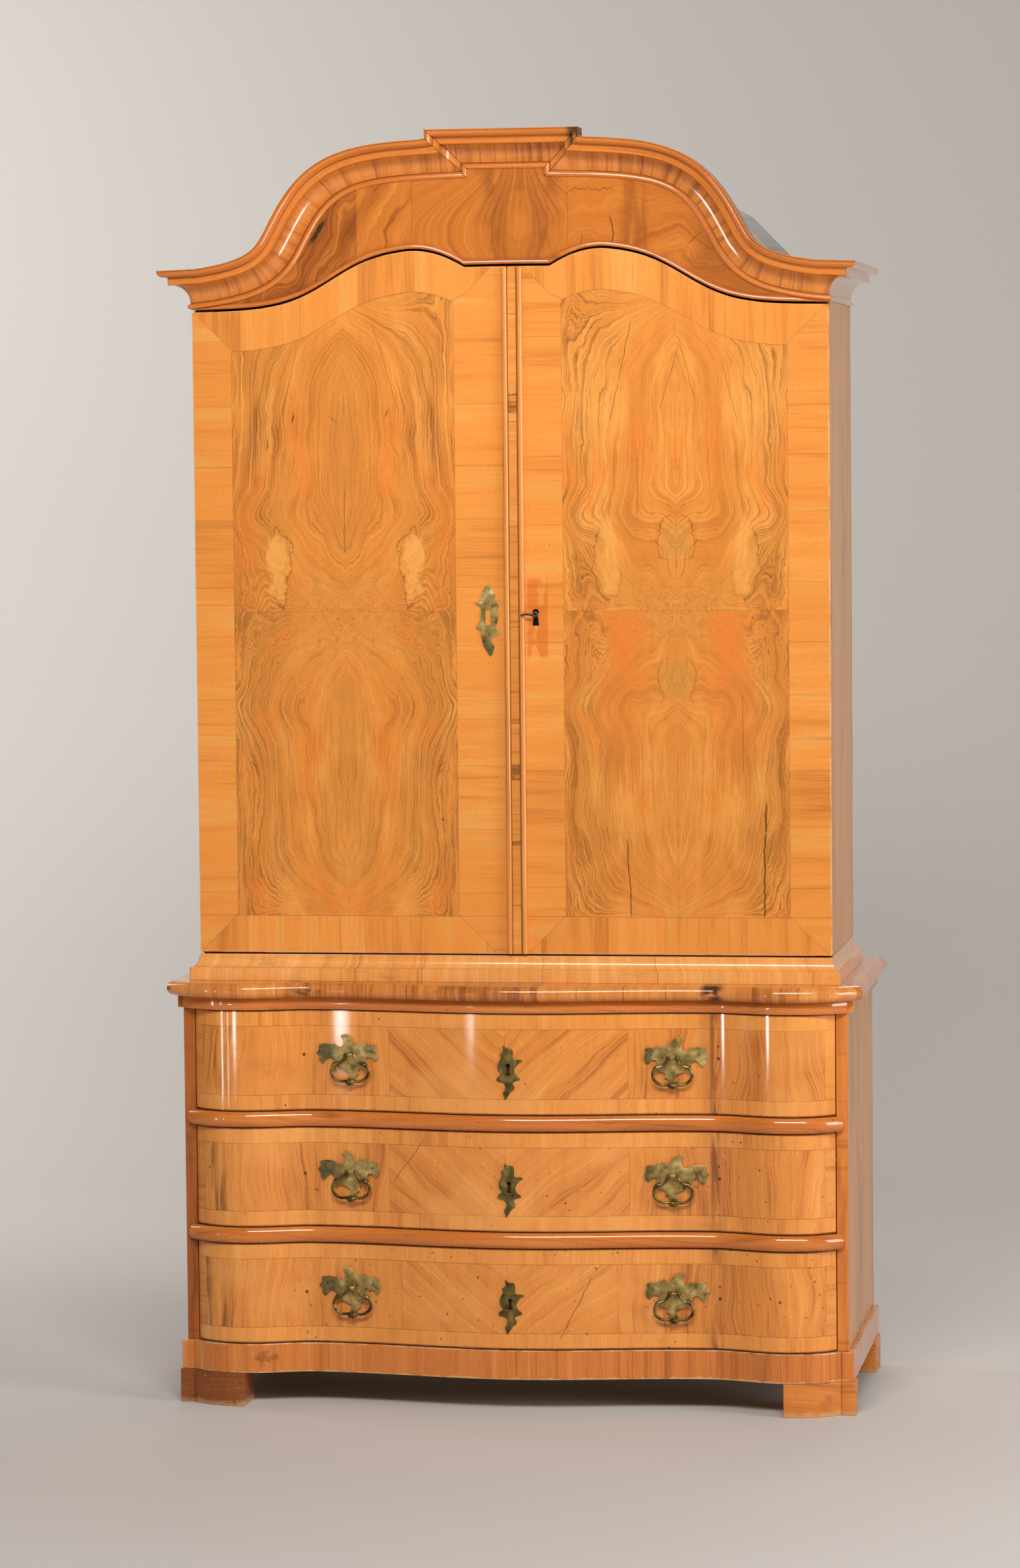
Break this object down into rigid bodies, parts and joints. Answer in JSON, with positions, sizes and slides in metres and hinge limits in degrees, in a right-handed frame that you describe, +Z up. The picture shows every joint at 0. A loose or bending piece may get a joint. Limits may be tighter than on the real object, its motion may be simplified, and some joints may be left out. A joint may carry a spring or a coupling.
{
  "type": "cabinet on chest",
  "caption": "Tall veneered cabinet with arched doors and an ogee cornice, standing on a serpentine chest of drawers with drop handles.",
  "frame": {"origin": "middle of the overall footprint, on the floor under the feet", "axes": "+Z up, front towards -Y, +X to the right of a viewer in front"},
  "size_m": [1.21, 0.547, 2.1955],
  "materials": {
    "walnut_veneer": "polished",
    "solid_walnut": "polished",
    "bare_softwood": "bare",
    "antique_brass": "patinated",
    "dark_iron": "dark"
  },
  "bodies": {
    "carcase": {"arch_bead": "walnut_veneer", "case_back": "bare_softwood", "case_bottom": "bare_softwood", "case_side_left": "walnut_veneer", "case_side_right": "walnut_veneer", "chest_back": "bare_softwood", "chest_bottom": "bare_softwood", "chest_side_left": "walnut_veneer", "chest_side_right": "walnut_veneer", "chest_top": "walnut_veneer", "cornice_left": "walnut_veneer", "cornice_right": "walnut_veneer", "drawer_rail_lower": "solid_walnut", "drawer_rail_upper": "solid_walnut", "foot_back_left": "solid_walnut", "foot_back_right": "solid_walnut", "foot_front_left": "solid_walnut", "foot_front_right": "solid_walnut", "frieze_board": "walnut_veneer", "cornice_middle": "walnut_veneer", "plinth": "walnut_veneer", "roof_boards": "bare_softwood", "shelf_lower": "bare_softwood", "shelf_upper": "bare_softwood", "top_rail": "solid_walnut", "waist_moulding": "walnut_veneer"},
    "right_leaf": {"right_door": "walnut_veneer", "meeting_strip": "walnut_veneer", "door_lock": "dark_iron", "right_door_top_pivot": "dark_iron", "right_door_bottom_pivot": "dark_iron"},
    "left_leaf": {"left_door": "walnut_veneer", "left_door_escutcheon": "antique_brass", "left_door_bolt_guide": "dark_iron", "left_door_top_pivot": "dark_iron", "left_door_bottom_pivot": "dark_iron"},
    "key": {"door_key": "dark_iron"},
    "bolt": {"lock_bolt": "dark_iron"},
    "slide_bolt": {"left_door_bolt": "dark_iron"},
    "lower_drawer": {"lower_drawer_front": "walnut_veneer", "lower_drawer_box": "bare_softwood", "lower_drawer_escutcheon": "antique_brass", "lower_backplate_left": "antique_brass", "lower_backplate_right": "antique_brass"},
    "lower_handle_left": {"lower_drop_handle_left": "antique_brass"},
    "lower_handle_right": {"lower_drop_handle_right": "antique_brass"},
    "middle_drawer": {"middle_drawer_front": "walnut_veneer", "middle_drawer_box": "bare_softwood", "middle_drawer_escutcheon": "antique_brass", "middle_backplate_left": "antique_brass", "middle_backplate_right": "antique_brass"},
    "middle_handle_left": {"middle_drop_handle_left": "antique_brass"},
    "middle_handle_right": {"middle_drop_handle_right": "antique_brass"},
    "upper_drawer": {"upper_drawer_front": "walnut_veneer", "upper_drawer_box": "bare_softwood", "upper_drawer_escutcheon": "antique_brass", "upper_backplate_left": "antique_brass", "upper_backplate_right": "antique_brass"},
    "upper_handle_left": {"upper_drop_handle_left": "antique_brass"},
    "upper_handle_right": {"upper_drop_handle_right": "antique_brass"}
  },
  "joints": [
    {"name": "right_door_hinge", "type": "hinge", "parent": "carcase", "child": "right_leaf", "pos_m": [0.544, -0.1635, 0.7865], "axis": [0, 0, 1], "range_deg": [0, 110]},
    {"name": "left_door_hinge", "type": "hinge", "parent": "carcase", "child": "left_leaf", "pos_m": [-0.544, -0.1635, 0.7865], "axis": [0, 0, -1], "range_deg": [0, 110]},
    {"name": "key_turn", "type": "hinge", "parent": "right_leaf", "child": "key", "pos_m": [0.045, -0.1815, 1.374], "axis": [0, 1, 0], "range_deg": [0, 180]},
    {"name": "lock_bolt_slide", "type": "slide", "parent": "right_leaf", "child": "bolt", "axis": [-1, 0, 0], "range_m": [0, 0.02]},
    {"name": "left_bolt_slide", "type": "slide", "parent": "left_leaf", "child": "slide_bolt", "axis": [0, 0, 1], "range_m": [0, 0.016]},
    {"name": "lower_drawer_slide", "type": "slide", "parent": "carcase", "child": "lower_drawer", "axis": [0, -1, 0], "range_m": [0, 0.33]},
    {"name": "lower_handle_left_hinge", "type": "hinge", "parent": "lower_drawer", "child": "lower_handle_left", "pos_m": [-0.28037, -0.22428, 0.20815], "axis": [-0.9947, 0.1024, 0], "range_deg": [0, 90]},
    {"name": "lower_handle_right_hinge", "type": "hinge", "parent": "lower_drawer", "child": "lower_handle_right", "pos_m": [0.28037, -0.22428, 0.20815], "axis": [-0.9947, -0.1024, 0], "range_deg": [0, 90]},
    {"name": "middle_drawer_slide", "type": "slide", "parent": "carcase", "child": "middle_drawer", "axis": [0, -1, 0], "range_m": [0, 0.33]},
    {"name": "middle_handle_left_hinge", "type": "hinge", "parent": "middle_drawer", "child": "middle_handle_left", "pos_m": [-0.28037, -0.22428, 0.4106], "axis": [-0.9947, 0.1024, 0], "range_deg": [0, 90]},
    {"name": "middle_handle_right_hinge", "type": "hinge", "parent": "middle_drawer", "child": "middle_handle_right", "pos_m": [0.28037, -0.22428, 0.4106], "axis": [-0.9947, -0.1024, 0], "range_deg": [0, 90]},
    {"name": "upper_drawer_slide", "type": "slide", "parent": "carcase", "child": "upper_drawer", "axis": [0, -1, 0], "range_m": [0, 0.33]},
    {"name": "upper_handle_left_hinge", "type": "hinge", "parent": "upper_drawer", "child": "upper_handle_left", "pos_m": [-0.28037, -0.22428, 0.6133], "axis": [-0.9947, 0.1024, 0], "range_deg": [0, 90]},
    {"name": "upper_handle_right_hinge", "type": "hinge", "parent": "upper_drawer", "child": "upper_handle_right", "pos_m": [0.28037, -0.22428, 0.6133], "axis": [-0.9947, -0.1024, 0], "range_deg": [0, 90]}
  ],
  "couplings": [
    {"joint": "left_door_hinge", "follows": "right_door_hinge", "ratio": 1},
    {"joint": "key_turn", "follows": "lock_bolt_slide", "rad_per_m": 157}
  ]
}
